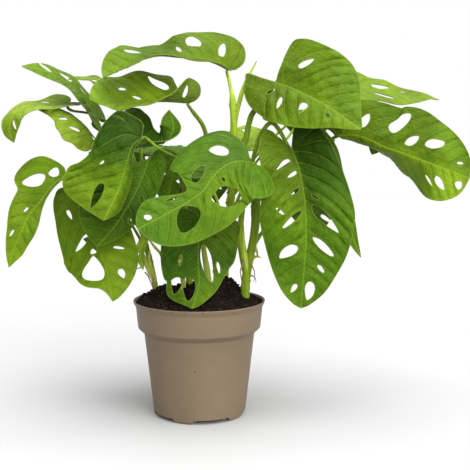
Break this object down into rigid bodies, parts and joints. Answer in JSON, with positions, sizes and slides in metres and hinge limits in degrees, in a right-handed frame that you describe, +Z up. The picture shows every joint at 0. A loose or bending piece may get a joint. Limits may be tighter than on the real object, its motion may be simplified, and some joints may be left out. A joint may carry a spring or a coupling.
{
  "type": "potted plant",
  "caption": "Potted Swiss cheese vine with holed, drooping green leaves on rooted stems in a plain tapered nursery pot with a stepped rim, filled with dark soil.",
  "frame": {"origin": "centre of the pot's flat underside disc, on the floor the pot stands on", "axes": "+Z up; +X to the viewer's right when the plant is seen from the side the picture shows, along the spread of the leaves; +Y away from that viewer"},
  "size_m": [0.418, 0.2234, 0.352],
  "materials": {
    "pot": "matt taupe moulded plastic",
    "soil": "rough dark peat potting soil",
    "stem": "smooth yellow-green living stem",
    "leaf": "satin living leaf, puckered between sunken veins",
    "leaf_pale": "satin young or faded yellow-green leaf"
  },
  "bodies": {
    "root": {"leaf_behind_great": "leaf", "leaf_centre": "leaf", "leaf_crest": "leaf", "leaf_crown": "leaf", "leaf_faded": "leaf_pale", "leaf_far_left": "leaf", "leaf_feather": "leaf", "leaf_front_left": "leaf", "leaf_great": "leaf", "leaf_hook": "leaf", "leaf_inner": "leaf", "leaf_low_front": "leaf", "leaf_low_left": "leaf", "leaf_outer_left": "leaf", "leaf_outer_right": "leaf", "leaf_pale_back": "leaf_pale", "leaf_pale_left": "leaf_pale", "leaf_peep": "leaf", "leaf_rear_left": "leaf", "leaf_rear_low_left": "leaf", "leaf_rear_low_right": "leaf", "leaf_rear_middle": "leaf", "leaf_rear_right": "leaf", "leaf_shelf": "leaf", "leaf_sliver": "leaf_pale", "leaf_top": "leaf", "leaf_under_left": "leaf", "pot": "pot", "soil": "soil", "stem_left": "stem", "stem_middle": "stem", "stem_right": "stem", "stem_tall": "stem"}
  },
  "joints": []
}
